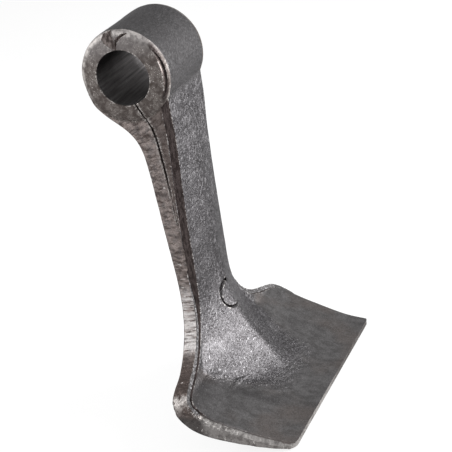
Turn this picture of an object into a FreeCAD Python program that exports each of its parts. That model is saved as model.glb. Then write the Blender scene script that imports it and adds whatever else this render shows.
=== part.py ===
import FreeCAD, Part
import math
import os
from FreeCAD import Vector

# A shredder hammer: one drop forging in steel that swings on a rotor pin.
# Frame: origin at the centre of the pivot bore, +X along the bore, +Z up from blade to boss,
# and the blade hooks forward towards -Y. All sizes are in millimetres.

# Pivot boss, with end faces that fall away a little from the bore to a rounded rim. The rim
# of the end at -X has rolled over further.
BORE_RADIUS = 12.75
BORE_CHAMFER = 0.25
BOSS_RADIUS = 21.5
BOSS_HALF_LENGTH = 22.7
END_FACE_DROP = 1.5
RIM_ROUNDING = 1.2
ROLLED_RIM_ROUNDING = 2.4

# Half widths of the forging: across the slimmest part of the shank and across the blade
SHANK_HALF_WIDTH = 19.4
BLADE_HALF_WIDTH = 63.9

# Stations down the forging, from inside the boss to the cutting edge. Each has its flare,
# which is 0 at the shank's half width and 1 at the blade's, and then the (y, z) of the front
# edge, of the back edge and of the ridge on the middle plane.
STATIONS = [
    (0.029, (-19.2, -6.0), (20.4, -6.0), (-19.2, -6.0)),
    (0.029, (-18.0, -10.5), (19.5, -10.5), (-18.2, -10.5)),
    (0.028, (-17.4, -15.5), (16.3, -15.5), (-17.7, -15.5)),
    (0.022, (-16.8, -23.0), (8.5, -23.0), (-17.2, -23.0)),
    (0.004, (-15.8, -31.5), (3.3, -31.5), (-16.8, -31.5)),
    (0.000, (-14.3, -43.0), (1.6, -43.0), (-16.4, -43.0)),
    (0.011, (-12.2, -60.0), (1.4, -60.0), (-15.8, -60.0)),
    (0.020, (-10.1, -80.0), (1.5, -80.0), (-14.7, -80.0)),
    (0.027, (-8.2, -99.5), (1.5, -99.5), (-13.1, -99.0)),
    (0.061, (-6.9, -112.0), (1.7, -112.0), (-13.3, -111.0)),
    (0.162, (-6.1, -123.2), (1.8, -123.4), (-15.2, -121.5)),
    (0.344, (-6.3, -132.2), (1.7, -133.0), (-18.1, -130.2)),
    (0.569, (-7.0, -137.4), (1.3, -139.0), (-21.1, -136.2)),
    (0.782, (-8.1, -140.1), (1.2, -142.9), (-23.8, -140.7)),
    (0.919, (-9.9, -142.4), (-1.1, -148.0), (-26.5, -145.0)),
    (0.982, (-13.5, -145.8), (-6.9, -153.3), (-29.5, -149.3)),
    (1.000, (-19.4, -150.3), (-15.0, -157.9), (-33.1, -153.5)),
    (0.989, (-28.4, -154.8), (-25.9, -161.5), (-38.5, -158.2)),
    (0.964, (-41.2, -160.5), (-40.0, -165.2), (-45.7, -161.8)),
    (0.935, (-56.4, -164.7), (-56.0, -167.1), (-56.4, -164.7)),
]

# The skin is laid in lengths of a few stations each, smooth from one to the next
STATIONS_PER_LENGTH = 4

# Draft wall round the front edge, with the flash land outside it, as (width, depth): they go
# from the thick shank's sizes to the thin blade's between two heights. Round the blade's
# lower corners and along to the cutting edge the land has broken away to a slope. The wall
# and the land each take at most a share of the metal's thickness.
SHANK_WALL = (1.2, 3.6)
BLADE_WALL = (0.5, 0.9)
SHANK_LAND = (0.2, 0.15)
BLADE_LAND = (2.2, 0.15)
BROKEN_WALL_DEPTH = 0.3
BROKEN_LAND_DEPTH = 1.4
WALL_SHARE = 0.35
TRIM_CHANGE = (-98.0, -122.0)
BROKEN_CHANGE = (-145.0, -150.0)

# Rounding of the sheared side into the back, which takes at most a share of the thickness.
# It and the boss's rim are laid in narrow flats.
BACK_ROUNDING = 0.8
ROUNDING_SHARE = 0.3
ROUNDING_FLATS = 4

# Half width of the rounding of the front ridge: soft on the shank, crisp where it fans out,
# and wide again where it fades into the blade
SHANK_RIDGE = 3.0
FAN_RIDGE = 0.8
BLADE_RIDGE = 5.0
RIDGE_END = (-146.0, -158.0)

# Where the ridge's flanks meet the flat of the blade: the x of the bend at the last stations.
# Above those the flank fills the front face, and the bend is lost at a share of its width.
FLANK_BEND = [30.0, 34.3, 35.6, 34.9, 32.3, 27.4, 18.8, 14.0, 12.0]
FLANK_SHARE = 0.94

# Corners of the blade's cutting edge, rounded in the plane of the blade
TIP_CORNER_RADIUS = 5.0

# Round die mark pressed into the front, centred on the ridge. It shows whole on the flank
# towards -X and only reaches a little way past the ridge.
MARK_CENTRE_Z = -117.5
MARK_RADIUS = 6.8
MARK_HALF_WIDTH = 0.75
MARK_DEPTH = 0.75
MARK_PAST_RIDGE = 2.0

# Crescent-shaped fold inside the front of the rim, on the end face at -X. Its ring is tilted,
# so that it bites only at the front.
FOLD_RADIUS = 20.2
FOLD_HALF_WIDTH = 1.3
FOLD_DEPTH = 1.0
FOLD_TILT = 15.0

# Openings on the side at -X: the parting line's seam below the bore, and above the bore a
# curved tear and the lap beside it. Each point has the y and z of the opening's bottom, its
# width on the left and on the right of the way that the points go, and its depth.
SEAM = [
    (-2.4, -11.6, 0.35, 0.30, 1.0), (-4.0, -16.6, 0.35, 0.30, 1.2), (-4.9, -20.5, 0.40, 0.35, 1.4),
    (-6.3, -25.0, 0.45, 0.40, 1.4), (-6.7, -31.0, 0.60, 0.45, 1.3), (-6.6, -43.0, 0.80, 0.50, 1.0),
    (-6.5, -56.0, 0.90, 0.50, 0.6), (-6.1, -72.0, 0.30, 0.30, 0.2)]
TEAR = [
    (-0.1, 12.0, 0.40, 0.25, 0.6), (-0.4, 14.2, 1.00, 0.30, 1.0), (-1.2, 16.6, 1.20, 0.35, 1.2),
    (-3.8, 18.5, 1.20, 0.35, 1.1), (-7.4, 19.6, 0.60, 0.30, 0.6)]
LAP = [
    (0.2, 13.2, 0.60, 0.30, 0.5), (0.6, 15.0, 2.60, 0.70, 1.4), (1.0, 17.0, 4.20, 0.90, 2.0),
    (1.3, 19.4, 4.80, 1.00, 2.8), (1.6, 22.4, 5.00, 1.10, 4.0)]

# How far the shapes that cut stand out past the metal
CLEARANCE = 3.0


def lerp(a, b, t):
    return a + (b - a) * t


def ease(z, span):
    # 0 above the span, 1 below it, with a smooth change between
    t = min(max((z - span[0]) / (span[1] - span[0]), 0.0), 1.0)
    return t * t * (3.0 - 2.0 * t)


def half_width(flare):
    return lerp(SHANK_HALF_WIDTH, BLADE_HALF_WIDTH, flare)


def front_edge():
    # The front edge on the side at +X
    return [Vector(half_width(flare), *front) for flare, front, back, ridge in STATIONS]


def parameters_along(points):
    # 0 to 1 down the forging, by the distance along its front edge
    lengths = [0.0]
    for a, b in zip(points, points[1:]):
        lengths.append(lengths[-1] + a.distanceToPoint(b))
    return [length / lengths[-1] for length in lengths]


def curve_through(points, parameters):
    curve = Part.BSplineCurve()
    curve.interpolate(Points=points, Parameters=parameters)
    return curve


def surface_over(rows, parameters):
    # One surface over several rows of points: it passes through the first and last row
    # and is drawn towards the rows between them
    curves = [curve_through(row, parameters) for row in rows]
    degree = min(2, len(rows) - 1)
    spans = len(rows) - degree
    knots = [float(k) for k in range(spans + 1)]
    mults = [degree + 1] + [1] * (spans - 1) + [degree + 1]
    poles = [list(column) for column in zip(*[curve.getPoles() for curve in curves])]
    surface = Part.BSplineSurface()
    surface.buildFromPolesMultsKnots(
        poles, curves[0].getMultiplicities(), mults, curves[0].getKnots(), knots,
        False, False, curves[0].Degree, degree)
    return surface


def mirrored(row):
    return [Vector(-p.x, p.y, p.z) for p in row]


def rounding_rows(start, corner, end):
    # Points on the quarter round between a side and the back, which meet at the corner
    points = []
    for step in range(1, ROUNDING_FLATS):
        angle = math.radians(90.0 * step / ROUNDING_FLATS)
        points.append(corner + (start - corner) * (1.0 - math.sin(angle))
                      + (end - corner) * (1.0 - math.cos(angle)))
    return points


def side_rows(edge, parameters):
    # The rows of one side of the forging, at +X: the front face's outer edge, the foot of
    # the draft wall, the outside of the land, the sheared side, the rounding and the back
    path = curve_through(edge, parameters)
    rows = [[] for row in range(5 + ROUNDING_FLATS - 1)]
    for station, point, parameter in zip(STATIONS, edge, parameters):
        flare, front, back, ridge = station
        across = Vector(half_width(flare), *back) - point
        thickness = across.Length
        across.normalize()
        inward = across.cross(path.tangent(parameter)[0])
        if parameter in (0.0, 1.0):
            inward = Vector(-1, 0, 0)
        inward.normalize()
        change = ease(front[1], TRIM_CHANGE)
        wall, depth = [lerp(a, b, change) for a, b in zip(SHANK_WALL, BLADE_WALL)]
        land, step = [lerp(a, b, change) for a, b in zip(SHANK_LAND, BLADE_LAND)]
        broken = ease(front[1], BROKEN_CHANGE)
        depth = min(lerp(depth, BROKEN_WALL_DEPTH, broken), WALL_SHARE * thickness)
        step = min(lerp(step, BROKEN_LAND_DEPTH, broken), WALL_SHARE * thickness)
        rounding = min(BACK_ROUNDING, ROUNDING_SHARE * thickness)
        corner = point + across * thickness
        side = corner - across * rounding
        back_edge = corner + inward * rounding
        points = [
            point + inward * (land + wall), point + inward * land + across * depth,
            point + across * (depth + step), side]
        points += rounding_rows(side, corner, back_edge)
        points.append(back_edge)
        for row, place in zip(rows, points):
            row.append(place)
    return rows


def bend_row(face_row):
    # The row on one flank along which it meets the flat of the blade
    row = []
    above = len(STATIONS) - len(FLANK_BEND)
    for index, (station, face) in enumerate(zip(STATIONS, face_row)):
        ridge = Vector(0.0, *station[3])
        if index < above:
            row.append(ridge + (face - ridge) * FLANK_SHARE)
        else:
            row.append(Vector(FLANK_BEND[index - above], face.y, face.z))
    return row


def ridge_rows(face_row):
    # The rows on one flank that draw the ridge's rounding on the middle plane
    foot, top = [], []
    for station, face in zip(STATIONS, face_row):
        ridge = Vector(0.0, *station[3])
        size = lerp(SHANK_RIDGE, FAN_RIDGE, ease(ridge.z, TRIM_CHANGE))
        size = lerp(size, BLADE_RIDGE, ease(ridge.z, RIDGE_END))
        foot.append(ridge + (face - ridge) * (2.0 * size / face.x))
        top.append(ridge + (face - ridge) * (size / face.x))
    return foot, top


def shank_and_blade():
    edge = front_edge()
    parameters = parameters_along(edge)
    right = side_rows(edge, parameters)
    left = [mirrored(row) for row in right]
    bend = bend_row(right[0])
    foot, top = ridge_rows(bend)
    strips = [[mirrored(foot), mirrored(top), top, foot], [left[-1], right[-1]]]
    for side, flank in ((left, [mirrored(foot), mirrored(bend)]), (right, [foot, bend])):
        strips += [flank, [flank[1], side[0]]]
        strips += [[a, b] for a, b in zip(side, side[1:])]
    surfaces = [surface_over(strip, parameters) for strip in strips]
    cuts = parameters[::STATIONS_PER_LENGTH] + [1.0]
    faces = []
    for surface in surfaces:
        for above, below in zip(cuts, cuts[1:]):
            if below > above:
                faces.append(surface.toShape(above, below, *surface.bounds()[2:]))
    for end in (0.0, 1.0):
        edges = [surface.uIso(end).toShape() for surface in surfaces]
        faces.append(Part.Face(Part.Wire(Part.__sortEdges__(edges))))
    shell = Part.makeShell(faces)
    shell.sewShape(1.0e-3)
    return Part.makeSolid(shell)


def turned(corners, axis):
    # A solid turned about an axis through the origin, from the corners of half its section
    profile = Part.Face(Part.makePolygon(corners + corners[:1]))
    return profile.revolve(Vector(0, 0, 0), axis, 360.0)


def boss_end(rounding):
    # Half the section of one end: the sloping end face and its rounded rim
    rim = Vector(BOSS_HALF_LENGTH - END_FACE_DROP, 0, BOSS_RADIUS)
    mouth = Vector(BOSS_HALF_LENGTH, 0, BORE_RADIUS)
    inwards = mouth - rim
    inwards.normalize()
    start = rim + inwards * rounding
    end = rim - Vector(rounding, 0, 0)
    return [Vector(BOSS_HALF_LENGTH, 0, 0), mouth, start, *rounding_rows(start, rim, end), end]


def boss():
    left = boss_end(ROLLED_RIM_ROUNDING)
    return turned(boss_end(RIM_ROUNDING) + mirrored(left[::-1]), Vector(1, 0, 0))


def pivot_bore():
    # The bore as a solid to cut, with its chamfers at both end faces
    mouth = BORE_RADIUS + BORE_CHAMFER
    end = BOSS_HALF_LENGTH
    outside = end + CLEARANCE
    right = [
        Vector(end - BORE_CHAMFER, 0, BORE_RADIUS), Vector(end, 0, mouth),
        Vector(outside, 0, mouth + CLEARANCE), Vector(outside, 0, 0)]
    return turned(mirrored(right[::-1]) + right, Vector(1, 0, 0))


def vee_ring(radius, half_width, depth):
    # A ring of V section about Z, its tip below the plane z = 0, to cut a round groove
    spread = half_width * (depth + CLEARANCE) / depth
    corners = [
        Vector(radius, 0, -depth), Vector(radius + spread, 0, CLEARANCE),
        Vector(radius - spread, 0, CLEARANCE)]
    return turned(corners, Vector(0, 0, 1))


def placed(shape, place, axis):
    # The shape with its origin at a place and its Z turned to an axis
    shape.Placement = FreeCAD.Placement(place, FreeCAD.Rotation(Vector(0, 0, 1), axis))
    return shape


def rim_fold():
    tilt = math.radians(FOLD_TILT)
    axis = Vector(-math.cos(tilt), -math.sin(tilt), 0)
    face = Vector(-BOSS_HALF_LENGTH + END_FACE_DROP, -FOLD_RADIUS, 0)
    to_centre = Vector(-math.sin(tilt), math.cos(tilt), 0)
    ring = vee_ring(FOLD_RADIUS, FOLD_HALF_WIDTH, FOLD_DEPTH)
    return placed(ring, face + to_centre * FOLD_RADIUS, axis)


def side_at(y, z):
    # How far the boss's end face or the shank's side stands out in x
    reach = math.hypot(y, z)
    if reach < BOSS_RADIUS:
        slope = END_FACE_DROP / (BOSS_RADIUS - BORE_RADIUS)
        return BOSS_HALF_LENGTH - slope * max(reach - BORE_RADIUS, 0.0)
    for above, below in zip(STATIONS, STATIONS[1:]):
        if below[1][1] <= z <= above[1][1]:
            t = (z - above[1][1]) / (below[1][1] - above[1][1])
            return half_width(lerp(above[0], below[0], t))
    return BOSS_HALF_LENGTH - END_FACE_DROP


def opening(points):
    # A V-shaped opening that follows its points over the side at -X
    outer = BOSS_HALF_LENGTH + CLEARANCE
    sections = []
    for index, (y, z, left, right, depth) in enumerate(points):
        before = points[max(index - 1, 0)]
        after = points[min(index + 1, len(points) - 1)]
        to_left = Vector(0, after[1] - before[1], before[0] - after[0])
        to_left.normalize()
        inner = side_at(y, z) - depth
        slope = (outer - inner) / depth
        mouth = Vector(-outer, y, z)
        corners = [
            mouth + to_left * left * slope, mouth - to_left * right * slope, Vector(-inner, y, z)]
        sections.append(Part.makePolygon(corners + corners[:1]))
    return Part.makeLoft(sections, True, True)


def front_at(body, x, z):
    # Where the front of the forging stands in y
    line = Part.makeLine(Vector(x, body.BoundBox.YMin, z), Vector(x, 0, z))
    return line.common(body).BoundBox.YMin


def round_mark(body):
    # A ring-shaped groove, half of it lying in each flank of the ridge
    top, bottom = [
        Vector(0, front_at(body, 0, z), z)
        for z in (MARK_CENTRE_Z + MARK_RADIUS, MARK_CENTRE_Z - MARK_RADIUS)]
    centre = (top + bottom) * 0.5
    size = 4.0 * MARK_RADIUS
    halves = []
    for side, reach in ((-1, size), (1, MARK_PAST_RIDGE)):
        x = side * MARK_RADIUS
        flank = Vector(x, front_at(body, x, MARK_CENTRE_Z), MARK_CENTRE_Z)
        axis = (flank - centre).cross(top - centre) * side
        ring = placed(vee_ring(MARK_RADIUS, MARK_HALF_WIDTH, MARK_DEPTH), centre, axis)
        corner = Vector(min(side * reach, 0.0), centre.y - size / 2, centre.z - size / 2)
        halves.append(ring.common(Part.makeBox(reach, size, size, corner)))
    return halves


def tip_corners():
    # What the rounding takes off the two corners of the cutting edge
    flare, front, back, ridge = STATIONS[-1]
    before = STATIONS[-2]
    along = Vector(0, front[0] - before[1][0], front[1] - before[1][1])
    along.normalize()
    across = Vector(0, back[0] - front[0], back[1] - front[1])
    across.normalize()
    r = TIP_CORNER_RADIUS
    pieces = []
    for side in (-1, 1):
        out = Vector(side, 0, 0)
        corner = Vector(side * half_width(flare), *front) - across * (r + CLEARANCE)
        centre = corner - out * r - along * r
        first = centre + out * r
        last = centre + along * r
        middle = centre + (out + along) * (r / math.sqrt(2.0))
        outside = [
            last, last + along * CLEARANCE, corner + (out + along) * CLEARANCE,
            first + out * CLEARANCE, first]
        edges = [Part.Arc(first, middle, last).toShape()]
        edges += [Part.makeLine(a, b) for a, b in zip(outside, outside[1:])]
        piece = Part.Face(Part.Wire(edges)).extrude(across * 2.0 * (r + CLEARANCE))
        pieces.append(piece)
    return pieces


def main():
    os.makedirs("parts", exist_ok=True)
    body = shank_and_blade().fuse(boss()).cut(pivot_bore())
    tools = tip_corners() + [opening(SEAM), rim_fold(), opening(TEAR), opening(LAP)]
    tools += round_mark(body)
    for tool in tools:
        body = body.cut(tool)
    body = body.Solids[0]
    print("forged hammer", body.isValid(), len(body.Faces), round(body.Volume))
    body.exportStep("parts/forged_hammer.step")


main()
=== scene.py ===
# %% [markdown]
# # A forged shredder hammer
#
# The real hammer is a single drop forging. Two dies squeeze red hot steel into shape, a press
# then shears the flash off all round, and the bore is machined last. So one solid carries
# several finishes: a grey forged skin on the front and back, brown sheared faces round the
# outline, a dark draft wall between the two, and a dark smooth bore.
#
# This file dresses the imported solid. It doesn't change its form: it lays a finer skin over it,
# marks which finish each point of that skin has, roughens it, and gives it one material that
# reads those marks.

# %% Load the solid
import math

import bmesh
import bpy
import numpy as np
from mathutils import Matrix, Vector, kdtree, noise


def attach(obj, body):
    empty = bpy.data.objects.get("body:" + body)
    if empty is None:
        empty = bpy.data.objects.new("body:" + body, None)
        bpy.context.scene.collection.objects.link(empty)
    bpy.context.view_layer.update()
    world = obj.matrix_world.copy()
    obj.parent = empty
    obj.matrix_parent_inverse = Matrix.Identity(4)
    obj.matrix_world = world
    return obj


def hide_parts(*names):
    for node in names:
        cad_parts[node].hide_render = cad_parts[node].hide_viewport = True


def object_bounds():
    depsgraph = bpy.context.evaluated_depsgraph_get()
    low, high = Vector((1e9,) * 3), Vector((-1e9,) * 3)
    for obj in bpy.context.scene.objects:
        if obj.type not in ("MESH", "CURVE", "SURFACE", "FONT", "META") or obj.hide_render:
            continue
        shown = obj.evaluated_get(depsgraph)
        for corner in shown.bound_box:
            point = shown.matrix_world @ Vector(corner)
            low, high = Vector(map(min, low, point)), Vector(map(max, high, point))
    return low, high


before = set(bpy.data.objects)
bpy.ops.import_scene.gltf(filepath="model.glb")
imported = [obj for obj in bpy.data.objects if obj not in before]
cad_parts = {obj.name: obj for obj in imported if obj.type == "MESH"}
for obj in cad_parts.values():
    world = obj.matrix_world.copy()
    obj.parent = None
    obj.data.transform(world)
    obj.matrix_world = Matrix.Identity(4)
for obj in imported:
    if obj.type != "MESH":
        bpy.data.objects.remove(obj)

cad_box = [list(corner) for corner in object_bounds()]
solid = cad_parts["forged_hammer"]
print("the solid is in", [[round(c, 4) for c in corner] for corner in cad_box])

# %% [markdown]
# ## The camera
#
# A camera could be placed by eye, but then edges never line up. Here its place was worked out
# from the round bore, the boss's outline and the mirrored edges of the forging, which fix the
# distance, the direction and the roll together. The three rows are the image's right, down
# and forward directions in the hammer's own frame.

# %% Set up the camera
IMAGE_RIGHT = (0.35035, -0.90776, -0.23071)
IMAGE_DOWN = (-0.41483, 0.07045, -0.90717)
VIEW_FORWARD = (0.83975, 0.41353, -0.35188)
CAMERA_PLACE = (-0.56462, -0.29816, 0.15336)
FOCAL_LENGTH_MM = 114.8
SENSOR_MM = 36.0


def set_camera():
    data = bpy.data.cameras.new("camera")
    data.lens = FOCAL_LENGTH_MM
    data.sensor_width = SENSOR_MM
    camera = bpy.data.objects.new("camera", data)
    right, up, back = Vector(IMAGE_RIGHT), -Vector(IMAGE_DOWN), -Vector(VIEW_FORWARD)
    turn = Matrix((right, up, back)).transposed().to_4x4()
    camera.matrix_world = Matrix.Translation(CAMERA_PLACE) @ turn
    bpy.context.scene.collection.objects.link(camera)
    bpy.context.scene.camera = camera
    return camera


camera = set_camera()
print("the camera looks along", [round(c, 3) for c in VIEW_FORWARD])

# %% [markdown]
# ## Where the outline runs
#
# The sheared side, the draft wall and the flash land all follow the forging's outline, so
# their finishes have to follow it too. The outline could be searched for in the mesh, but it
# is simpler and steadier to walk it: a few stations down one side, each with half the width
# and the y and z of the front edge and of the back edge, joined by a smooth curve. The other
# side is the mirror image, so a point is looked up with its x made positive.

# %% Walk the outline
OUTLINE = np.array((
    (0.0206, -0.0174, -0.0155, 0.0163, -0.0155), (0.0204, -0.0168, -0.0230, 0.0085, -0.0230),
    (0.0196, -0.0158, -0.0315, 0.0033, -0.0315), (0.0194, -0.0143, -0.0430, 0.0016, -0.0430),
    (0.0199, -0.0122, -0.0600, 0.0014, -0.0600), (0.0203, -0.0101, -0.0800, 0.0015, -0.0800),
    (0.0206, -0.0082, -0.0995, 0.0015, -0.0995), (0.0221, -0.0069, -0.1120, 0.0017, -0.1120),
    (0.0266, -0.0061, -0.1232, 0.0018, -0.1234), (0.0347, -0.0063, -0.1322, 0.0017, -0.1330),
    (0.0447, -0.0070, -0.1374, 0.0013, -0.1390), (0.0542, -0.0081, -0.1401, 0.0012, -0.1429),
    (0.0603, -0.0099, -0.1424, -0.0011, -0.1480), (0.0631, -0.0135, -0.1458, -0.0069, -0.1533),
    (0.0639, -0.0194, -0.1503, -0.0150, -0.1579), (0.0634, -0.0284, -0.1548, -0.0259, -0.1615),
    (0.0623, -0.0412, -0.1605, -0.0400, -0.1652), (0.0610, -0.0564, -0.1647, -0.0560, -0.1671)))
STEPS_PER_STATION = 16


def smooth_through(points):
    """Closely spaced points on one smooth curve through the given ones."""
    ends = np.vstack([2 * points[0] - points[1], points, 2 * points[-1] - points[-2]])
    t = np.linspace(0, 1, STEPS_PER_STATION, endpoint=False)[:, None]
    runs = []
    for a, b, c, d in zip(ends, ends[1:], ends[2:], ends[3:]):
        bend = (2 * a - 5 * b + 4 * c - d) * t ** 2 + (3 * b - a - 3 * c + d) * t ** 3
        runs.append(0.5 * (2 * b + (c - a) * t + bend))
    return np.vstack(runs + [points[-1:]])


def unit(vectors):
    return vectors / np.linalg.norm(vectors, axis=-1, keepdims=True)


walk = smooth_through(OUTLINE)
front_edge, back_edge = walk[:, [0, 1, 2]], walk[:, [0, 3, 4]]
across = unit(back_edge - front_edge)
outward = unit(np.cross(np.gradient(front_edge, axis=0), across))
steps = np.linalg.norm(np.diff(front_edge, axis=0), axis=1)
distance_down = np.concatenate([[0.0], np.cumsum(steps)])
print("the outline is", round(float(distance_down[-1]) * 1000), "mm long on each side")

outline_finder = kdtree.KDTree(len(walk))
for index, point in enumerate((front_edge + back_edge) / 2):
    outline_finder.insert(point, index)
outline_finder.balance()


def beside_outline(points):
    """For each point: how far it is down the outline, across the metal and in from the side."""
    folded = points * 1.0
    folded[:, 0] = np.abs(folded[:, 0])
    nearest = np.array([outline_finder.find(point)[1] for point in folded])
    offset = folded - front_edge[nearest]
    depth = (offset * across[nearest]).sum(axis=1)
    inset = -(offset * outward[nearest]).sum(axis=1)
    return nearest, depth, inset


# %% [markdown]
# ## Which finish each face has
#
# A forging shows where each tool touched it. The dies leave a scaled grey skin, the trimming
# press leaves sheared faces, and the drill leaves a clean bore. The solid's creases are the
# true borders between them, so each face of the solid is sorted once, before the mesh is made
# finer, and its parts inherit the answer.

# %% Sort the faces of the solid
MM = 0.001
BORE_RADIUS = 12.75 * MM
BOSS_RADIUS = 21.5 * MM
BOSS_HALF_LENGTH = 22.7 * MM
END_FACE_DROP = 1.5 * MM
RIM_ROUNDING = (2.4 * MM, 1.2 * MM)
WALL_DEPTH = (3.6 * MM, 0.9 * MM)
LAND_WIDTH = (0.2 * MM, 2.2 * MM)
TRIM_CHANGE = (-98 * MM, -122 * MM)
BROKEN_CHANGE = (-145 * MM, -150 * MM)
MARK_CENTRE = np.array((0.0, -14.1, -117.5)) * MM
MARK_RADIUS = 6.8 * MM
SEAM = np.array((
    (-2.4, -11.6), (-4.0, -16.6), (-4.9, -20.5), (-6.3, -25.0), (-6.7, -31.0), (-6.6, -43.0),
    (-6.5, -56.0), (-6.1, -72.0))) * MM
FAN_EDGE = np.array((
    (0, -158.5), (18.0, -158.9), (21.7, -157.2), (25.3, -154.4), (27.6, -151.3), (30.2, -148.6),
    (33.0, -145.9), (34.9, -143.1), (35.8, -139.8), (37.0, -136.8), (38.0, -134.0))) * MM
SKIN, SHEARED, WALL, LAND, BORE, CUT = range(6)


def ease(values, start, end):
    """0 before the start, 1 past the end, and a smooth change between."""
    t = np.clip((values - start) / (end - start), 0, 1)
    return t * t * (3 - 2 * t)


def end_face_x(radius, rim):
    """How far out the boss's end face stands at a radius, with the rim rounded by so much."""
    slope = END_FACE_DROP / (BOSS_RADIUS - BORE_RADIUS)
    over = np.clip(radius - (BOSS_RADIUS - rim), 0, rim)
    plain = BOSS_HALF_LENGTH - slope * np.maximum(radius - BORE_RADIUS, 0)
    return plain - (rim - np.sqrt(rim ** 2 - over ** 2))


def above_fan_edge(points):
    """How far a point of the front is above the line where the fan meets the flat blade."""
    return points[:, 2] - np.interp(np.abs(points[:, 0]), *FAN_EDGE.T)


def distance_to_line(points, line):
    """The distance in the y-z plane from each point to a line of several runs."""
    best = np.full(len(points), 1.0)
    for a, b in zip(line, line[1:]):
        t = np.clip(((points - a) @ (b - a)) / ((b - a) @ (b - a)), 0, 1)
        best = np.minimum(best, np.linalg.norm(points - a - t[:, None] * (b - a), axis=1))
    return best


def sort_faces(centres, normals):
    x, y, z = centres.T
    radius = np.hypot(y, z)
    nearest, depth, inset = beside_outline(centres)
    folded = normals * 1.0
    folded[:, 0] = normals[:, 0] * np.sign(x)
    faces_out = (folded * outward[nearest]).sum(axis=1)
    change = ease(z, *TRIM_CHANGE)
    wall_depth = WALL_DEPTH[0] + (WALL_DEPTH[1] - WALL_DEPTH[0]) * change
    land_width = LAND_WIDTH[0] + (LAND_WIDTH[1] - LAND_WIDTH[0]) * change
    finish = np.full(len(centres), SKIN)
    below_boss = radius > BOSS_RADIUS
    finish[below_boss & (faces_out > 0.6) & (inset < 1.5 * MM)] = SHEARED
    finish[below_boss & (depth > 0) & (depth < wall_depth) & (faces_out > 0.3)
           & (inset < land_width + 1.6 * MM)] = WALL
    finish[below_boss & (depth > 0) & (depth < wall_depth + 0.5 * MM) & (faces_out <= 0.6)
           & (inset < land_width) & (change > 0)] = LAND
    broken = ease(z, *BROKEN_CHANGE) > 0.5
    finish[broken & (inset < land_width) & (depth > 0.2 * MM) & (depth < 6 * MM)
           & (normals[:, 1] < 0.3)] = SHEARED
    cutting_edge = (z < -164 * MM) & (np.abs(normals[:, 2]) < 0.5) & (normals[:, 1] < -0.7)
    finish[cutting_edge] = SHEARED
    on_end = (radius < BOSS_RADIUS) & (radius > BORE_RADIUS) & (np.abs(x) > 17 * MM)
    finish[on_end] = SHEARED
    sunk = np.abs(x) < end_face_x(radius, np.where(x < 0, *RIM_ROUNDING)) - 0.3 * MM
    finish[on_end & sunk & (radius < BOSS_RADIUS - 0.5 * MM)] = CUT
    seam_near = distance_to_line(centres[:, 1:], SEAM) < 1.2 * MM
    finish[seam_near & (x < 0) & (np.abs(normals[:, 0]) < 0.85) & (z < -12 * MM)
           & (z > -73 * MM)] = CUT
    finish[(radius < BORE_RADIUS + 0.05 * MM) & (np.abs(x) < BOSS_HALF_LENGTH)] = BORE
    return finish


print("faces can be sorted as skin, sheared, wall, land, bore or cut")

# %% [markdown]
# ## A finer skin
#
# The solid's triangles are as few as its form needs, which is too few to dent. The mesh could
# be remeshed evenly, but that would round off every crease. Here every triangle that is too
# large for where it lies is cut into four of its own shape, and again, so that the mesh is
# finest at the tear, the seam, the torn corner and the chipped lower edge, and plain on the
# back. The boss and the bore come as strips as long as the boss, so those are first cut
# across into rings.

# %% Say how fine the skin is in each place
PLAIN_EDGE = 2.2 * MM
SIDE_EDGE = 1.5 * MM
BEND_EDGE = 1.3 * MM
FINE_EDGE = 0.8 * MM
RING_SPACING = 1.5 * MM
TORN_CORNER = np.array((-62.0, -12.0, -151.0)) * MM
TEAR_PLACE = np.array((-22.0, 0.0, 17.0)) * MM
CREASE_ANGLE = math.radians(26)
MOST_PASSES = 3


def wanted_edge(points):
    """How long an edge may be at each point."""
    x, y, z = points.T
    wanted = np.full(len(points), PLAIN_EDGE)
    wanted[(np.abs(x) > 17 * MM) & (z > -133 * MM)] = SIDE_EDGE
    wanted[(x < -17 * MM) & (y > -24 * MM)] = SIDE_EDGE
    fine = np.linalg.norm(points - TEAR_PLACE, axis=1) < 9 * MM
    fine |= (x < 0) & (distance_to_line(points[:, 1:], SEAM) < 2 * MM)
    fine |= np.abs(np.linalg.norm(points - MARK_CENTRE, axis=1) - MARK_RADIUS) < 1.5 * MM
    fine |= (x < -17 * MM) & (z < -98 * MM) & (np.abs(y) < 9 * MM) & (z > -146 * MM)
    fine |= np.linalg.norm((points - TORN_CORNER) * (1, 0.5, 0.6), axis=1) < 11 * MM
    fine |= (x < -59 * MM) & (y > -50 * MM) & (z < -150 * MM)
    bend = (np.abs(above_fan_edge(points)) < 7 * MM) & (np.abs(x) < 40 * MM)
    wanted[bend] = BEND_EDGE
    wanted[fine] = FINE_EDGE
    return wanted


print("edges are at most", round(PLAIN_EDGE / MM, 1), "mm, and", round(FINE_EDGE / MM, 1),
      "mm where the marks are")


# %% Refine a copy of the solid
def cut_rings(bm):
    """Cut the strips of the boss and the bore across, so that no triangle is a long sliver."""
    ring = -BOSS_HALF_LENGTH + 2 * RING_SPACING
    while ring < BOSS_HALF_LENGTH - RING_SPACING:
        strips = [face for face in bm.faces if math.hypot(*face.calc_center_median()[1:])
                  < BOSS_RADIUS + 1 * MM and max(e.calc_length() for e in face.edges) > 0.01]
        parts = strips + list({edge for face in strips for edge in face.edges})
        bmesh.ops.bisect_plane(
            bm, geom=parts, plane_co=(ring, 0, 0), plane_no=(1, 0, 0), dist=0.01 * MM)
        ring += RING_SPACING
    bmesh.ops.triangulate(bm, faces=bm.faces, quad_method="SHORT_EDGE")


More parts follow.
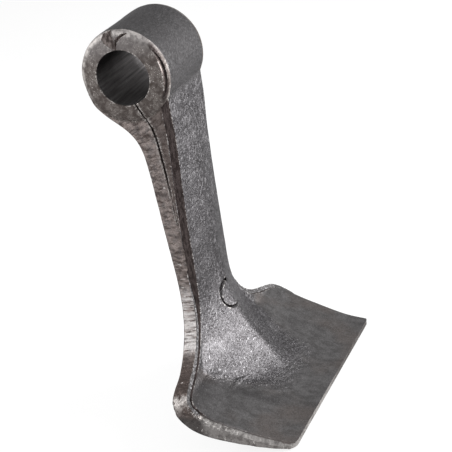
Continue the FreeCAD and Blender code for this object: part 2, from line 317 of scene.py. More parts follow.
def refined_skin():
    mesh = bpy.data.meshes.new("forged_skin")
    bm = bmesh.new()
    bm.from_mesh(solid.data)
    bmesh.ops.remove_doubles(bm, verts=bm.verts, dist=0.002 * MM)
    bmesh.ops.triangulate(bm, faces=bm.faces)
    finish = bm.faces.layers.int.new("finish")
    centres = np.array([face.calc_center_median() for face in bm.faces])
    normals = np.array([face.normal for face in bm.faces])
    for face, value in zip(bm.faces, sort_faces(centres, normals)):
        face[finish] = int(value)
    for edge in bm.edges:
        edge.smooth = edge.calc_face_angle(0.0) < CREASE_ANGLE
    cut_rings(bm)
    for turn in range(MOST_PASSES):
        faces = list(bm.faces)
        corners = np.array([[corner.co for corner in face.verts] for face in faces])
        longest = np.linalg.norm(corners - np.roll(corners, 1, axis=1), axis=2).max(axis=1)
        too_large = longest > wanted_edge(corners.mean(axis=1))
        cut = {edge for i in np.flatnonzero(too_large) for edge in faces[i].edges}
        if not cut:
            break
        bmesh.ops.subdivide_edges(bm, edges=list(cut), cuts=1, use_grid_fill=True)
        uneven = [face for face in bm.faces if len(face.verts) > 3]
        bmesh.ops.triangulate(bm, faces=uneven)
        print("after pass", turn + 1, "there are", len(bm.faces), "triangles")
    ridges = [edge for edge in bm.edges if not edge.smooth and edge.is_convex]
    ridge_points = [corner.co.copy() for edge in ridges for corner in edge.verts]
    bm.to_mesh(mesh)
    bm.free()
    skin = bpy.data.objects.new("forged_skin", mesh)
    bpy.context.scene.collection.objects.link(skin)
    return skin, ridge_points


skin, ridge_points = refined_skin()
mesh = skin.data
print("the skin has", len(mesh.vertices), "points and", len(mesh.polygons), "triangles")

# %% [markdown]
# ## The shape of the skin
#
# Cutting triangles up leaves the solid's facets as flat as they were, and light shows every
# one. A subdivision surface would round them, but the creases with them. So each point is
# drawn a little towards its neighbours, while points on a crease only move along the crease,
# which keeps it crisp. The line where the fan bends into the blade is drawn in more rounds,
# because hot steel doesn't fold there to a sharp edge.

# %% Smooth the facets
FACET_ROUNDS = 10
BEND_ROUNDS = 40
BEND_REACH = 5 * MM
BEND_HALF_WIDTH = 38 * MM
BEND_FRONT = -9 * MM


def mesh_values(collection, name, width, kind=float):
    values = np.empty(len(collection) * width, dtype=kind)
    collection.foreach_get(name, values)
    return values.reshape(-1, width) if width > 1 else values


def add_up(pairs, values, count):
    """The sum of each point's neighbours' values, along the given pairs of points."""
    total = np.bincount(pairs[:, 0], values[pairs[:, 1]], count)
    return total + np.bincount(pairs[:, 1], values[pairs[:, 0]], count)


def smooth_facets(points, pairs, creased, rounds, amount):
    count = len(points)
    creases = pairs[creased]
    plain_number = np.bincount(pairs.ravel(), minlength=count)
    crease_number = np.bincount(creases.ravel(), minlength=count)
    free, along = crease_number == 0, crease_number == 2
    for turn in range(rounds):
        plain = np.stack([add_up(pairs, points[:, i], count) for i in range(3)], axis=1)
        crease = np.stack([add_up(creases, points[:, i], count) for i in range(3)], axis=1)
        plain_shift = plain / np.maximum(plain_number, 1)[:, None] - points
        crease_shift = crease / np.maximum(crease_number, 1)[:, None] - points
        gentle = along & (np.linalg.norm(crease_shift, axis=1) < 0.12 * MM)
        points = points + 0.5 * plain_shift * (free * amount)[:, None]
        points = points + 0.3 * crease_shift * (gentle * amount)[:, None]
    return points


if "custom_normal" in mesh.attributes:
    mesh.attributes.remove(mesh.attributes["custom_normal"])
pairs = mesh_values(mesh.edges, "vertices", 2, int)
creased = mesh_values(mesh.edges, "use_edge_sharp", 1, bool)
points = mesh_values(mesh.vertices, "co", 3)
points = smooth_facets(points, pairs, creased, FACET_ROUNDS, np.ones(len(points)))
bend = np.exp(-(above_fan_edge(points) / BEND_REACH) ** 2)
bend *= (np.abs(points[:, 0]) < BEND_HALF_WIDTH) & (points[:, 1] < BEND_FRONT)
points = smooth_facets(points, pairs, creased, BEND_ROUNDS, bend)
mesh.vertices.foreach_set("co", points.ravel())
mesh.update()
print("crease edges:", int(creased.sum()), "points in the bend:", int((bend > 0.5).sum()))

# %% [markdown]
# ## The marks of making
#
# Die-forged skin is never quite even. A sheared face is torn across the metal, and rubbed
# bright with fine ridges where the press ran through last. Where the press bit badly, at the
# near corner, chips have broken away. A picture of heights could push the skin in, but noise
# that is read at each point needs no unwrapping and has the same scale everywhere. All of it
# goes inward from the solid, because metal is only ever missing.

# %% Dent the skin
UNEVEN = 0.10 * MM
SHEAR_TEAR = 0.16 * MM
SHEAR_RIDGE = 0.22 * MM
TEAR_ROUGH = 0.30 * MM
TEAR_REACH = 6 * MM
CHIP = 0.7 * MM
CHIP_REACH = (-16 * MM, -9 * MM)
CHIP_STEPS = 3.5
BURNISHED_TOP = (-101 * MM, -112 * MM)
BURNISHED_FOOT = (-133 * MM, -129 * MM)
INSIDE_BOX = 0.01 * MM


def waviness(points, size, seed):
    """Smooth random values, mostly from -0.7 to 0.7, that change over the given size."""
    return np.array([noise.noise(point) for point in points / size + seed])


normals = mesh_values(mesh.vertex_normals, "vector", 3)
finish_of_face = mesh_values(mesh.attributes["finish"].data, "value", 1, int)
corner_point = mesh_values(mesh.loops, "vertex_index", 1, int)
corner_sheared = np.isin(np.repeat(finish_of_face, 3), (SHEARED, LAND))
sheared = (np.bincount(corner_point, corner_sheared, len(points))
           / np.bincount(corner_point, minlength=len(points)))

nearest, depth, inset = beside_outline(points)
side_place = np.stack([distance_down[nearest], depth, points[:, 0] * 0.2], axis=1)
on_side = sheared * (np.hypot(points[:, 1], points[:, 2]) > BOSS_RADIUS)
burnished = on_side * ease(points[:, 2], *BURNISHED_TOP) * ease(points[:, 2], *BURNISHED_FOOT)

sink = UNEVEN * (0.5 + 0.7 * waviness(points, 9 * MM, 3.1))
sink += (0.5 + 1.5 * bend) * UNEVEN * waviness(points, 3.2 * MM, 11.7)
sink += on_side * SHEAR_TEAR * (0.5 + waviness(side_place * (1, 0.5, 1), 1.3 * MM, 5.5))
sink += burnished * SHEAR_RIDGE * (0.6 + waviness(side_place * (1, 0.12, 1), 1.6 * MM, 8.2))
near_tear = np.exp(-np.sum((points - TEAR_PLACE) ** 2, axis=1) / TEAR_REACH ** 2)
sink += near_tear * TEAR_ROUGH * (0.4 + waviness(points, 1.4 * MM, 21.3)) * sheared
points = points - normals * np.maximum(sink, 0)[:, None]

torn = ease(-np.linalg.norm((points - TORN_CORNER) * (1, 0.6, 0.8), axis=1), *CHIP_REACH)
ragged_depth = 0.5 + waviness(points * (1, 1, 1.4), 2.6 * MM, 31.9)
steps_in = np.floor(CHIP_STEPS * ragged_depth) / CHIP_STEPS
way_out = outward[nearest] * 1.0
way_out[:, 0] *= np.sign(points[:, 0])
points = points - way_out * (torn * sheared * CHIP * np.clip(steps_in, 0, 1))[:, None]

lowest = np.array(cad_box[0]) + INSIDE_BOX
highest = np.array(cad_box[1]) - INSIDE_BOX
mesh.vertices.foreach_set("co", np.clip(points, lowest, highest).ravel())
mesh.polygons.foreach_set("use_smooth", np.ones(len(mesh.polygons), dtype=bool))
mesh.update()
print("the deepest dent is", round(float(sink.max()) / MM, 2), "mm")

# %% [markdown]
# ## What the shader needs to know
#
# The finishes are told apart by values kept on the mesh: which finish each face has, how near
# a point is to an outer crease, and where it lies along and across the sheared side. Painted
# images could say the same, but these follow the form exactly and never show a seam.

# %% Keep the finishes and the creases
RIDGE_REACH = 0.5 * MM
SHADE_START = (-35 * MM, -80 * MM)
SHADE_END = (-120 * MM, -104 * MM)


def keep(name, values):
    kind = "FLOAT_VECTOR" if values.ndim == 2 else "FLOAT"
    attribute = mesh.attributes.new(name, kind, "POINT")
    attribute.data.foreach_set("vector" if values.ndim == 2 else "value", values.ravel())


ridge_finder = kdtree.KDTree(len(ridge_points))
for index, point in enumerate(ridge_points):
    ridge_finder.insert(point, index)
ridge_finder.balance()
to_ridge = np.array([ridge_finder.find(point)[2] for point in points])

for name, kind in (("sheared", SHEARED), ("wall", WALL), ("land", LAND), ("bore", BORE),
                   ("cut", CUT)):
    face_values = mesh.attributes.new(name, "FLOAT", "FACE")
    face_values.data.foreach_set("value", (finish_of_face == kind).astype(float))
keep("ridge", np.exp(-to_ridge / RIDGE_REACH))
keep("above_fan_edge", above_fan_edge(points) / MM)
keep("bend", bend)
keep("side_place", side_place)
keep("burnished", burnished)
keep("shank_shade", ease(points[:, 2], *SHADE_START) * ease(points[:, 2], *SHADE_END))
print("points beside an outer crease:", int((to_ridge < RIDGE_REACH).sum()))

# %% [markdown]
# ## The marks round the boss and the shank
#
# The end face was squashed while hot. Its rim rolled over toward the front and metal lapped
# under it in a fold. The seam is an open line in the trimmed side. The solid already has these
# as real cuts. What is added here is painted: shade in the depth of the fold, the seam and the
# ring mark, a highlight along the top of the rim, light on the upper part of each end face, and
# bright metal with a painted highlight on the seam's lips. An image could carry these, but a
# value that falls off with the distance from each line stays in place wherever it runs.

# %% Keep the marks round the boss and the shank
END_FACE_FROM = 18 * MM
RIM_BAND = (18.3 * MM, 19.8 * MM)
LIT_BAND = (0 * MM, 14 * MM)
FRONT_BAND = (13.5 * MM, 17.5 * MM)
OVER_FOLD_BAND = (20.9 * MM, 21.3 * MM)
FOLD_RADIUS_MM, FOLD_HALF_WIDTH_MM = 20.1, 0.9
END_TOP_BAND = (4 * MM, 17 * MM)
BOSS_SKIN_RADIUS = (23.5 * MM, 21.8 * MM)
BOSS_SKIN_FROM = (-20 * MM, -10 * MM)
FRONT_SIDE_Y = (-4.5 * MM, -7.5 * MM)
FRONT_SIDE_Z = (-110 * MM, -95 * MM)
MARK_HALF_WIDTH = 0.55 * MM
MARK_SHIFT = 0.1 * MM
MARK_FAR_END = 2.1 * MM
SEAM_REACH = 0.7 * MM
SEAM_FADE = (-66 * MM, -38 * MM)
LIP_PLACE_MM, LIP_HALF_WIDTH_MM = 0.9, 0.45
LIP_FADE = (-62 * MM, -30 * MM)

x, y, z = points.T
near_half = x < 0
radius = np.hypot(y, z)
on_end = (radius < BOSS_RADIUS) * (np.abs(x) > END_FACE_FROM)
at_front = ease(-y, *FRONT_BAND) * near_half
# Painted highlight: the rim is made bright only along its upper part, and on a thin crest beyond
# the fold at the front.
rim = on_end * ease(radius, *RIM_BAND) * near_half * ease(z + 0.7 * y, *LIT_BAND)
keep("end_face", on_end * 1.0)
keep("rim_highlight", rim + 0.45 * at_front * ease(radius, *OVER_FOLD_BAND))
# Painted light: the upper part of each end face is made lighter.
keep("end_top_light", on_end * ease(z, *END_TOP_BAND))
# Painted shade in the groove of the fold.
fold_place = (radius / MM - FOLD_RADIUS_MM) / FOLD_HALF_WIDTH_MM
keep("fold", on_end * at_front * np.exp(-fold_place ** 2))
keep("boss_skin", ease(radius, *BOSS_SKIN_RADIUS) * ease(z, *BOSS_SKIN_FROM))
keep("front_side", ease(y, *FRONT_SIDE_Y) * ease(z, *FRONT_SIDE_Z))
# Painted shade in the groove of the ring mark, on its near half.
to_mark = np.abs(np.linalg.norm(points - MARK_CENTRE, axis=1) - MARK_RADIUS + MARK_SHIFT)
keep("mark", np.exp(-(to_mark / MARK_HALF_WIDTH) ** 2) * (x < MARK_FAR_END))
# Painted shadow along the seam, fading lower down.
to_seam = distance_to_line(points[:, 1:], SEAM)
keep("seam", np.exp(-to_seam / SEAM_REACH) * near_half * (0.45 + 0.55 * ease(z, *SEAM_FADE)))
# Bright metal with a painted highlight on the seam's lips.
lip_place = (to_seam / MM - LIP_PLACE_MM) / LIP_HALF_WIDTH_MM
keep("seam_lip_wear_and_glint", np.exp(-lip_place ** 2) * near_half * ease(z, *LIP_FADE))
print("points on the end faces:", int(on_end.sum()))

# %% [markdown]
# ## The marks along the blade's edge
#
# Toward the bottom the trimmed side turns from sheared to broken metal, dark and uneven, with
# bright chips where the edge has come away. They could be scattered evenly, but chips sit in
# a few places, so a short table says how many there are along the edge.

# %% Keep the marks along the blade's edge
CHIP_ZONE_Y = (-48, -45, -41, -39, -37, -28, -24, -19, -16, -14, -11, -9)
CHIP_ZONE = (0, 1, 1, 0.1, 0.9, 0.9, 0.5, 0.5, 0, 0.8, 0.8, 0)
CHIP_FROM = (-144 * MM, -149 * MM)
CHIP_INSET, CHIP_DEPTH = 2.0 * MM, 1.4 * MM
SIDE_TONE_Z = (-165, -153, -150, -136, -131, -100, -20)
SIDE_TONE = (0.80, 0.72, 0.50, 0.55, 1.1, 1.0, 1.1)
BOTTOM_FROM = (-147 * MM, -151 * MM)
BROKEN_DEPTH, BROKEN_INSET = (2.3 * MM, 1.5 * MM), (4 * MM, 3 * MM)
CORNER_START, CORNER_END = (-53.5 * MM, -56 * MM), (-61.5 * MM, -58 * MM)
CORNER_BACK = (-15 * MM, -11 * MM)
RAGGED_FROM, RAGGED_UNTIL = (-142 * MM, -145 * MM), (-34 * MM, -27 * MM)
RAGGED_DEPTH, RAGGED_INSET = (3.6 * MM, 1.8 * MM), (3 * MM, 1 * MM)

at_bottom = ease(z, *BOTTOM_FROM)
keep("side_tone", np.interp(z / MM, SIDE_TONE_Z, SIDE_TONE))
keep("bottom", at_bottom)
keep("broken_band", at_bottom * ease(depth, *BROKEN_DEPTH) * ease(inset, *BROKEN_INSET))
keep("torn_corner", near_half * ease(x, *CORNER_START) * ease(x, *CORNER_END)
     * ease(y, *CORNER_BACK))
keep("ragged", near_half * ease(z, *RAGGED_FROM) * ease(depth, *RAGGED_DEPTH)
     * ease(y, *RAGGED_UNTIL) * ease(inset, *RAGGED_INSET))
chip_zone = np.interp(y / MM, CHIP_ZONE_Y, CHIP_ZONE)
at_edge = np.exp(-np.maximum(inset, 0) / CHIP_INSET) * np.exp(-np.maximum(depth, 0) / CHIP_DEPTH)
keep("chipped", chip_zone * ease(z, *CHIP_FROM) * near_half * at_edge)
print("values kept:", [a.name for a in mesh.attributes if not a.name.startswith(".")])

# %% [markdown]
# ## A small language for shaders
#
# Wiring shader nodes by hand hides the sums that they do. The first class wraps one output of
# a node, so that finishes can be written as plain arithmetic. The second holds the nodes of
# one material, or of the world, and anything else that a shader can do comes from its method
# called node.

# %% Values and finishes
class Value:
    """One output in a shader, which can be used in sums like a number."""

    def __init__(self, finish, socket):
        self.finish = finish
        self.socket = socket

    def sum(self, operation, *values):
        return self.finish.node("ShaderNodeMath", {"operation": operation},
                                dict(enumerate(values)))

    def __add__(self, other):
        return self.sum("ADD", self, other)

    def __sub__(self, other):
        return self.sum("SUBTRACT", self, other)

    def __rsub__(self, other):
        return self.sum("SUBTRACT", other, self)

    def __mul__(self, other):
        return self.sum("MULTIPLY", self, other)

    __radd__ = __add__
    __rmul__ = __mul__

    def between(self, start, end):
        """0 at the start, 1 at the end, and a smooth change from one to the other."""
        return self.finish.node("ShaderNodeMapRange", {"interpolation_type": "SMOOTHSTEP"},
                                {"Value": self, "From Min": start, "From Max": end})


class Finish:
    """The nodes of a material or of the world."""

    def __init__(self, owner):
        owner.use_nodes = True
        self.tree = owner.node_tree
        self.tree.nodes.clear()

    def node(self, kind, settings=None, inputs=None, output=0):
        node = self.tree.nodes.new(kind)
        for name, value in (settings or {}).items():
            setattr(node, name, value)
        for name, value in (inputs or {}).items():
            if isinstance(value, Value):
                self.tree.links.new(value.socket, node.inputs[name])
            else:
                node.inputs[name].default_value = value
        return Value(self, node.outputs[output])

    def kept(self, name, output="Fac"):
        """A value that was kept on the mesh under this name."""
        return self.node("ShaderNodeAttribute", {"attribute_name": name}, output=output)

    def ray(self, kind):
        """1 for rays of this kind, such as those from the camera, and 0 for all others."""
        return self.node("ShaderNodeLightPath", output=kind)

    def stretched(self, place, x, y, z):
        return self.node("ShaderNodeVectorMath", {"operation": "MULTIPLY"},
                         {0: place, 1: (x, y, z)})

    def grain(self, size, detail, place):
        """Random values about 0.5 that change over the given size in metres."""
        return self.node("ShaderNodeTexNoise", {}, {
            "Vector": place, "Scale": 1 / size, "Detail": detail, "Roughness": 0.5})

    def mix(self, amount, first, second):
        """A colour that goes from the first to the second."""
        return self.node("ShaderNodeMix", {"data_type": "RGBA", "clamp_factor": True},
                         {0: amount, 6: first, 7: second}, 2)

    def end_with(self, surface, kind="ShaderNodeOutputMaterial"):
        """Send a finished surface to the output."""
        end = self.tree.nodes.new(kind)
        self.tree.links.new(surface.socket, end.inputs["Surface"])


print("a finish can be written as sums now")

# %% [markdown]
# ## Forged and trimmed steel
#
# The whole hammer is one piece of bare dark steel, so it has one material. It could have a
# material for each finish, but then the borders between them would be as hard as a line drawn
# with a ruler. In one material they can run into each other, as rust and wear do. The colours
# are linear values, from the nearly black painted shade in the cuts to bright bare metal and
# painted highlights on the worn edges. The five grains run from the finest sparkle to clouds as
# wide as the shank, and are shared by all the finishes.

# %% The colours and grains of the steel
material = bpy.data.materials.new("forged_steel_skin")
steel = Finish(material)
place = steel.node("ShaderNodeTexCoord", output="Object")
GREY = (0.075, 0.072, 0.075, 1)
GREY_LIGHT = (0.265, 0.257, 0.265, 1)
GREY_DARK = (0.032, 0.030, 0.031, 1)
BOSS_GREY = (0.082, 0.079, 0.081, 1)
BOSS_DARK = (0.056, 0.054, 0.055, 1)
BLADE_GREY = (0.128, 0.124, 0.125, 1)
BLADE_DARK = (0.078, 0.075, 0.075, 1)
BROWN_TINT = (0.110, 0.094, 0.087, 1)
BROWN = (0.225, 0.192, 0.181, 1)
BROWN_DARK = (0.058, 0.046, 0.042, 1)
BOTTOM_BROWN = (0.034, 0.031, 0.030, 1)
END_BROWN = (0.120, 0.106, 0.099, 1)
END_DARK = (0.062, 0.052, 0.048, 1)
WALL_BROWN = (0.068, 0.055, 0.053, 1)
WALL_DARK = (0.027, 0.021, 0.020, 1)
BLACK = (0.010, 0.008, 0.008, 1)
BURNISHED = (0.440, 0.421, 0.416, 1)
BORE_GREY = (0.225, 0.215, 0.215, 1)
BRIGHT = (0.496, 0.472, 0.456, 1)

fine = steel.grain(0.45 * MM, 3.0, place)
speck = steel.grain(0.95 * MM, 2.0, place)
blotch = steel.grain(2.6 * MM, 3.0, place)
patches = steel.grain(8 * MM, 3.0, place)
clouds = steel.grain(26 * MM, 2.0, place)
print("grains, finest first: 0.45, 0.95, 2.6, 8 and 26 mm")

# %% [markdown]
# ## Scratches and wrinkles
#
# The skin looks brushed or blasted. It has short bright hairs in two directions, and in a few
# places it is wrinkled, as scale leaves it. Hairs could be modelled one by one, but there are
# thousands. Noise that is stretched along one direction and cut off at a high value gives much
# the same broken lines.

# %% Scratches and wrinkles
def hairs(angle, length, width, least):
    """Fine bright hairs at an angle across the front. A higher least value leaves fewer."""
    turned = steel.node("ShaderNodeMapping", {}, {
        "Vector": place, "Rotation": (0, math.radians(angle), 0)})
    run = steel.stretched(turned, width / length, 1, 1)
    return steel.grain(width, 1.5, run).between(least, least + 0.10)


brushed = hairs(52, 2.6 * MM, 0.55 * MM, 0.57)
crossed = hairs(-20, 2.4 * MM, 0.50 * MM, 0.59)
wavy = steel.node("ShaderNodeMapping", {}, {
    "Vector": place, "Rotation": (0, math.radians(35), 0), "Scale": (0.5, 1, 1)})
wrinkles = (steel.grain(4.0 * MM, 2.5, wavy) - 0.5).sum("ABSOLUTE").between(0.09, 0.01)
wrinkles = wrinkles * patches.between(0.50, 0.60)
print("hairs run two ways, and wrinkles come in patches")

# %% [markdown]
# ## The grey skin
#
# The shank and the fan are dark and grainy, with many bright hairs. The flat blade is smoother
# and its grey is more even, with a brown tint in clouds. The boss is smoother still. Each
# could be a separate part of the mesh, but the real borders are ragged, so each border is a
# kept value with a little grain added before it is cut off.

# %% The grey skin
blasted = (steel.kept("above_fan_edge") + blotch * 10.0 - 5.0).between(-3.5, 3.0)
boss_skin = steel.kept("boss_skin")
smears = steel.grain(2.4 * MM, 3.0, steel.stretched(place, 0.7, 0.3, 1))
blade_colour = steel.mix(smears.between(0.30, 0.68), BLADE_DARK, BLADE_GREY)
blade_colour = steel.mix(fine.between(0.38, 0.62) * 0.4, blade_colour, BLADE_DARK)
blade_colour = steel.mix(clouds.between(0.46, 0.66) * 0.6, blade_colour, BROWN_TINT)
blade_colour = steel.mix(speck.between(0.46, 0.66) * 0.30, blade_colour, GREY_DARK)
half_across = steel.node("ShaderNodeSeparateXYZ", {}, {0: place}, 0)
# Painted shade on the blade just under the fan, toward the near edge.
shade_under_fan = steel.kept("above_fan_edge").between(-22.0, -6.0)
shade_under_fan = shade_under_fan * half_across.between(-18 * MM, -40 * MM)
blade_colour = steel.mix(shade_under_fan * 0.6, blade_colour, GREY_DARK)
blade_colour = steel.mix(brushed * 0.16 + crossed * 0.10, blade_colour, GREY_LIGHT)
skin_colour = steel.mix(speck.between(0.34, 0.60), GREY_DARK, GREY)
skin_colour = steel.mix(patches.between(0.50, 0.72) * speck * 0.35, skin_colour, GREY_LIGHT)
skin_colour = steel.mix(brushed * 0.60, skin_colour, GREY_LIGHT)
skin_colour = steel.mix(crossed * 0.45, skin_colour, GREY_LIGHT)
skin_colour = steel.mix(wrinkles * 0.50, skin_colour, BRIGHT)
skin_colour = steel.mix(steel.kept("shank_shade") * 0.36, skin_colour, GREY_DARK)
skin_colour = steel.mix(blasted, blade_colour, skin_colour)
boss_colour = steel.mix(speck.between(0.35, 0.65), BOSS_DARK, BOSS_GREY)
boss_colour = steel.mix(brushed * 0.10, boss_colour, GREY_LIGHT)
boss_cover = (boss_skin + blotch * 0.8 - 0.4).between(0.1, 0.9)
skin_colour = steel.mix(boss_cover * 0.9, skin_colour, boss_colour)
print("the skin has three greys: shank, blade and boss")

# %% [markdown]
# ## The sheared sides and the end faces
#
# The press tore these faces across the metal, and they have browned since. The side's grain is
# stretched across the thickness, in places along the outline and not in x, y and z, so that it
# turns with the outline as the tear marks do. The place where the press ran through last is
# burnished bright, and the end faces are browner, with bright flecks, a painted highlight along
# the top of the rolled rim and painted light on their upper part.

# %% The sheared sides and the end faces
side = steel.kept("side_place", "Vector")
side_tone = steel.kept("side_tone")
across_grain = steel.grain(1.1 * MM, 3.0, steel.stretched(side, 1, 0.35, 1))
brown_colour = steel.mix(across_grain.between(0.30, 0.66), BROWN_DARK, BROWN)
brown_colour = steel.mix(blotch.between(0.46, 0.62) * 0.35, brown_colour, GREY)
brown_colour = steel.mix((side_tone - 0.5) * -2.2 + 1.15, brown_colour, BROWN_DARK)
brown_colour = steel.mix(steel.kept("bottom") * 0.75, brown_colour, BOTTOM_BROWN)
broken_colour = steel.mix(blotch.between(0.36, 0.66) * 0.7, BOTTOM_BROWN, BLADE_DARK)
brown_colour = steel.mix(steel.kept("broken_band") * 0.9, brown_colour, broken_colour)
brown_colour = steel.mix(steel.kept("front_side") * 0.6, brown_colour, BROWN_DARK)
ticks = steel.grain(0.7 * MM, 2.0, steel.stretched(side, 1, 0.16, 1)).between(0.63, 0.72)
brown_colour = steel.mix(ticks * patches.between(0.42, 0.55) * 0.8, brown_colour, BRIGHT)
torn_bright = steel.kept("torn_corner") * blotch.between(0.32, 0.52) * 0.55
brown_colour = steel.mix(torn_bright, brown_colour, BRIGHT)
ragged = steel.kept("ragged") * speck.between(0.52, 0.60) * 0.45
brown_colour = steel.mix(ragged, brown_colour, BRIGHT)
end_colour = steel.mix(blotch.between(0.34, 0.62), END_DARK, END_BROWN)
end_colour = steel.mix(speck.between(0.50, 0.36) * 0.45, end_colour, BROWN_DARK)
# Painted light: the upper part of the end face is lighter.
end_colour = steel.mix(steel.kept("end_top_light") * 0.25, end_colour, GREY_LIGHT)
flecks = fine.between(0.60, 0.68) * blotch.between(0.46, 0.58)
end_colour = steel.mix(flecks * 0.8, end_colour, BRIGHT)
brown_colour = steel.mix(steel.kept("end_face"), brown_colour, end_colour)
# Painted highlight on the top of the rolled rim and beyond the fold.
rim_glint = steel.kept("rim_highlight") * (blotch.between(0.36, 0.54) * 0.6 + 0.4)
brown_colour = steel.mix(rim_glint * 0.6, brown_colour, BRIGHT)
striations = steel.grain(0.8 * MM, 2.0, steel.stretched(side, 1, 0.1, 1))
bright_band = steel.kept("burnished") * striations.between(0.32, 0.58)
brown_colour = steel.mix(bright_band, brown_colour, BURNISHED)
land_colour = steel.mix(speck.between(0.48, 0.70), BLADE_DARK, GREY_LIGHT)
land_colour = steel.mix(steel.kept("bottom") * 0.85, land_colour, broken_colour)
print("the sides are brown, bright where burnished, and broken at the bottom")

# %% [markdown]
# ## The draft wall and the bore
#
# The draft wall is given the darkest colour of all. The bore is smooth, with faint lines from
# the drill, and is painted with shade that darkens it toward its top. Its lines could be cut as
# a fine thread, but they are too shallow to see as anything but streaks of tone, so they are
# noise stretched along the bore.

# %% The draft wall and the bore
wall_grain = steel.grain(1.0 * MM, 3.0, steel.stretched(side, 0.3, 1, 1))
wall_colour = steel.mix(wall_grain.between(0.34, 0.66), WALL_DARK, WALL_BROWN)
bore_lines = steel.grain(1.2 * MM, 3.0, steel.stretched(place, 0.05, 1, 1))
bore_colour = steel.mix(bore_lines.between(-0.2, 1.2), BLACK, BORE_GREY)
# Painted shade: the bore goes nearly black toward its top.
height_in_bore = steel.node("ShaderNodeSeparateXYZ", {}, {0: place}, 2)
bore_colour = steel.mix(height_in_bore.between(-1 * MM, 8 * MM) * 0.93, bore_colour, BLACK)
print("the wall and the bore are the dark finishes")

# %% [markdown]
# ## Put the finishes together
#
# The finishes are laid over each other in the order in which they were made on the real hammer:
# forged skin, trimmed faces and the bore. Over them go the cut faces, painted shade in the
# grooves and the seam, and wear with painted highlights on the edges.
# The steel is nearly all metal, but a dark dull metal would still shine white at a glancing
# angle, so its edge tint is held down. At the broken bottom it is less of a mirror.

# %% Lay the colours over each other
colour = steel.mix(steel.kept("sheared"), skin_colour, brown_colour)
colour = steel.mix(steel.kept("wall") - steel.kept("bottom") * 0.6, colour, wall_colour)
colour = steel.mix(steel.kept("land"), colour, land_colour)
colour = steel.mix(steel.kept("bore"), colour, bore_colour)
cut_streaks = steel.grain(1.0 * MM, 2.0, steel.stretched(place, 1, 1, 0.3))
cut_colour = steel.mix(cut_streaks.between(0.36, 0.64), BROWN_DARK, BROWN)
colour = steel.mix(steel.kept("cut") * 0.85, colour, cut_colour)
# Painted shade: the ring mark's groove is made black.
colour = steel.mix(steel.kept("mark") * 0.9, colour, BLACK)
# Painted shade: the fold's groove is made dark.
colour = steel.mix(steel.kept("fold").between(0.15, 0.75) * 0.9, colour, WALL_DARK)
# Wear and painted highlights: bright metal along the outer creases.
edge_wear_and_glint = steel.kept("ridge").between(0.40, 0.95) * speck.between(0.42, 0.58)
edge_wear_and_glint = edge_wear_and_glint * blotch.between(0.40, 0.55) * (1 - steel.kept("fold")) * 0.8
edge_wear_and_glint = edge_wear_and_glint * (1 - steel.kept("bottom") * 0.75)
colour = steel.mix(edge_wear_and_glint, colour, BRIGHT)
chips = (steel.kept("chipped") + blotch - 0.5).between(0.35, 0.62) * speck.between(0.38, 0.52)
colour = steel.mix(chips * 0.75, colour, BRIGHT)
# Bright metal with a painted highlight on the seam's lips.
colour = steel.mix(steel.kept("seam_lip_wear_and_glint") * speck.between(0.40, 0.60) * 0.55, colour, BRIGHT)
# Painted shadow in the seam.
colour = steel.mix(steel.kept("seam").between(0.35, 0.9) * 0.75, colour, BLACK)
print("the colour is laid in", len(steel.tree.nodes), "nodes")

# %% Give the steel its roughness and grain
BUMP_DEPTH = 0.30 * MM
EDGE_TINT = (0.45, 0.45, 0.45, 1)

rough = 0.40 + blasted * 0.06 + steel.kept("sheared") * 0.08 + steel.kept("wall") * 0.20
rough = rough + patches * 0.06 + steel.kept("bore") * 0.12
skin_height = speck * 0.6 + fine * 0.3 + brushed * 0.35 + crossed * 0.25 + wrinkles * 0.3
skin_height = skin_height * (0.24 + blasted * 0.76 - boss_cover * 0.65)
lumps = steel.grain(1.7 * MM, 2.0, place)
height = skin_height + lumps * steel.kept("bend") * 1.4
height = height + (across_grain * 0.8 + speck * 0.8) * steel.kept("sheared")
bump = steel.node("ShaderNodeBump", {}, {
    "Height": height, "Strength": 0.9, "Distance": BUMP_DEPTH})
metal = 0.9 - steel.kept("bottom") * steel.kept("sheared") * (1 - chips) * 0.55
steel.end_with(steel.node("ShaderNodeBsdfPrincipled", {}, {
    "Base Color": colour, "Metallic": metal, "Roughness": rough, "Normal": bump,
    "Specular Tint": EDGE_TINT}))
mesh.materials.clear()
mesh.materials.append(material)
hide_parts("forged_hammer")
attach(skin, "root")
print("finish:", material.name)

# %% [markdown]
# ## The white surround
#
# The photograph has a plain white background. A white wall could stand behind the hammer, but
# it would have to stand on every side to be seen in the metal too. So the world is white
# instead: at full strength to the eye and in reflections, and at half strength on plain
# surfaces, so that the steel keeps its own tone.

# %% Set the surround
PLAIN_LIGHT = 0.50

world = bpy.data.worlds.new("white_surround")
bpy.context.scene.world = world
surround = Finish(world)
seen = surround.ray("Is Camera Ray") + surround.ray("Is Glossy Ray")
seen = (seen + surround.ray("Is Transmission Ray")).between(0, 1)
background = surround.node("ShaderNodeBackground", {}, {
    "Color": (1, 1, 1, 1), "Strength": seen * (1 - PLAIN_LIGHT) + PLAIN_LIGHT})
surround.end_with(background, "ShaderNodeOutputWorld")
print("the surround is white, with a strength of", PLAIN_LIGHT, "on plain surfaces")

# %% [markdown]
# ## The lamps
#
# A piece of metal shows a lamp only where it faces halfway between the lamp and the eye, and
# the hammer's front turns slowly from the shank to the blade. One large lamp could light it
# all, but evenly, and the photograph is brightest on the fan. So three soft lamps stand one
# above another in front, each for one stretch of it. A weak one lights the far half of the
# blade, one behind draws the line along the boss, and one on the left lights the trimmed side.

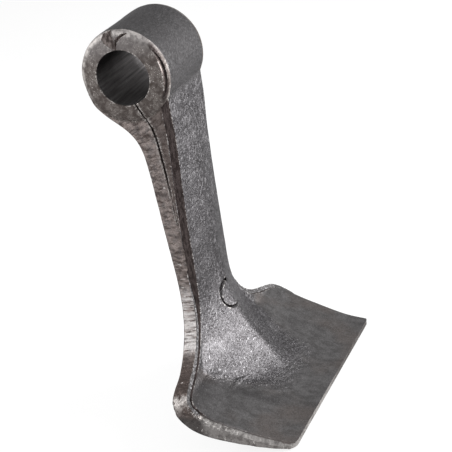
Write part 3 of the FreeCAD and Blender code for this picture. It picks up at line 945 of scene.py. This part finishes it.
# %% Set the lamps
LAMP_DISTANCE = 1.0
HAMMER_MIDDLE = (0, -0.02, -0.075)
LAMPS = (
    ("high_front_lamp", (0.17, -0.85, 0.50), 0.35, 7.8),
    ("middle_front_lamp", (0.15, -0.97, 0.15), 0.35, 12.5),
    ("low_front_lamp", (0.14, -0.99, 0.02), 0.35, 3.2),
    ("far_lamp", (0.71, -0.66, -0.10), 0.4, 0.4),
    ("back_lamp", (-0.11, 0.82, 0.50), 0.4, 5.0),
    ("left_lamp", (-0.80, 0.50, 0.15), 0.5, 2.6))


def lamp(name, toward, side, watts):
    """A soft square lamp in the given direction from the hammer, turned to face it."""
    data = bpy.data.lights.new(name, "AREA")
    data.shape = "RECTANGLE"
    data.size, data.size_y = side, side
    data.energy = watts
    light = bpy.data.objects.new(name, data)
    direction = Vector(toward).normalized()
    turn = direction.to_track_quat("Z", "Y").to_matrix().to_4x4()
    stand = Vector(HAMMER_MIDDLE) + direction * LAMP_DISTANCE
    light.matrix_world = Matrix.Translation(stand) @ turn
    bpy.context.scene.collection.objects.link(light)


for row in LAMPS:
    lamp(*row)
print("lamps:", [row[0] for row in LAMPS])

# %% [markdown]
# ## The floor
#
# The hammer stands on its blade's tip, just above a white floor that fades into the surround
# and keeps its soft shadow. A plain white floor would go grey wherever the lamps don't reach,
# so to the eye it mostly glows by itself. Only a fifth of what is seen is lit paper, which is
# enough for the shadow.

# %% Set the floor
FLOOR_HALF = 3.0
FLOOR_LEVEL = -0.1682
GLOW_SHARE = 0.8
GLOW_STRENGTH = 1.06

floor_mesh = bpy.data.meshes.new("floor")
corners = [(across * FLOOR_HALF, along * FLOOR_HALF, FLOOR_LEVEL)
           for across, along in ((-1, -1), (1, -1), (1, 1), (-1, 1))]
floor_mesh.from_pydata(corners, [], [(0, 1, 2, 3)])
floor = bpy.data.objects.new("floor", floor_mesh)
bpy.context.scene.collection.objects.link(floor)
floor_mesh.materials.append(bpy.data.materials.new("white_floor"))
paper = Finish(floor_mesh.materials[0])
glow = paper.node("ShaderNodeEmission", {}, {"Color": (1, 1, 1, 1), "Strength": GLOW_STRENGTH})
matt = paper.node("ShaderNodeBsdfDiffuse", {}, {"Color": (0.9, 0.9, 0.9, 1)})
paper.end_with(paper.node("ShaderNodeMixShader", {}, {
    0: paper.ray("Is Camera Ray") * GLOW_SHARE, 1: matt, 2: glow}))
print("the floor is", 2 * FLOOR_HALF, "m wide, at", FLOOR_LEVEL, "m")

# %% [markdown]
# ## Look
#
# Standard view keeps the tones as they are written. The solid's box is printed.

# %% Finish
bpy.context.scene.view_settings.view_transform = "Standard"
print("solid box", cad_box)
